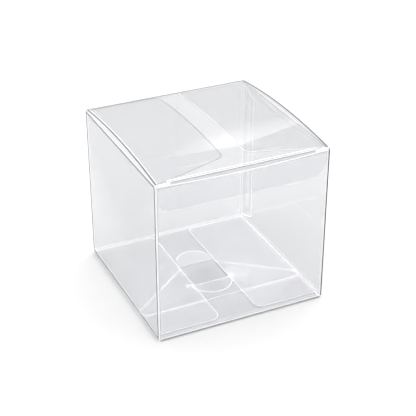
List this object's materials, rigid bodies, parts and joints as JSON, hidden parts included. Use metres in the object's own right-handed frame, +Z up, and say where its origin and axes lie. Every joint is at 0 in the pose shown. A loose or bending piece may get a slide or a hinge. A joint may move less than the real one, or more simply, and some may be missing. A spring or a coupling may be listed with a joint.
{
  "type": "clear folding box",
  "caption": "Clear plastic folding box with a tuck-in lid, dust flaps under it and a bottom locked by a tongue through a hole.",
  "frame": {"origin": "under the middle of the bottom, on the surface that the box stands on", "axes": "+Z up, +Y towards the lid's hinge crease, +X to the right as seen from the front"},
  "size_m": [0.1, 0.1, 0.097],
  "materials": {
    "clear_sheet": "gloss",
    "crease": "satin",
    "adhesive": "gloss"
  },
  "bodies": {
    "tube": {"front_panel": "clear_sheet", "right_panel": "clear_sheet", "back_panel": "clear_sheet", "left_panel": "clear_sheet", "front_left_crease": "crease", "back_left_crease": "crease", "front_right_crease": "crease", "back_right_crease": "crease", "glue_flap": "clear_sheet", "glue_line": "adhesive", "lid_crease": "crease", "left_dust_crease": "crease", "right_dust_crease": "crease", "bottom_front_crease": "crease", "bottom_front_flap": "clear_sheet", "bottom_back_crease": "crease", "bottom_back_flap": "clear_sheet", "bottom_left_crease": "crease", "bottom_right_crease": "crease"},
    "lid": {"lid_panel": "clear_sheet", "tuck_crease": "crease"},
    "tuck": {"tuck_flap": "clear_sheet"},
    "left_dust": {"left_dust_flap": "clear_sheet"},
    "right_dust": {"right_dust_flap": "clear_sheet"},
    "bottom_left": {"bottom_left_flap": "clear_sheet"},
    "bottom_right": {"bottom_right_flap": "clear_sheet"},
    "tongue": {"lock_tongue": "clear_sheet"}
  },
  "joints": [
    {"name": "lid_hinge", "type": "hinge", "parent": "tube", "child": "lid", "pos_m": [0, 0.049, 0.094], "axis": [-1, 0, 0], "range_deg": [0, 170]},
    {"name": "tuck_fold", "type": "hinge", "parent": "lid", "child": "tuck", "pos_m": [0, -0.0491, 0.093], "axis": [1, 0, 0], "range_deg": [0, 75]},
    {"name": "left_dust_fold", "type": "hinge", "parent": "tube", "child": "left_dust", "pos_m": [-0.049, 0, 0.0931], "axis": [0, 1, 0], "range_deg": [0, 85]},
    {"name": "right_dust_fold", "type": "hinge", "parent": "tube", "child": "right_dust", "pos_m": [0.049, 0, 0.0931], "axis": [0, -1, 0], "range_deg": [0, 85]},
    {"name": "bottom_left_fold", "type": "hinge", "parent": "tube", "child": "bottom_left", "pos_m": [-0.049, 0, 0.0011], "axis": [0, -1, 0], "range_deg": [0, 85]},
    {"name": "bottom_right_fold", "type": "hinge", "parent": "tube", "child": "bottom_right", "pos_m": [0.049, 0, 0.0011], "axis": [0, 1, 0], "range_deg": [0, 85]},
    {"name": "tongue_fold", "type": "hinge", "parent": "tube", "child": "tongue", "pos_m": [0, -0.0095, 0.0003], "axis": [1, 0, 0], "range_deg": [0, 70]}
  ]
}
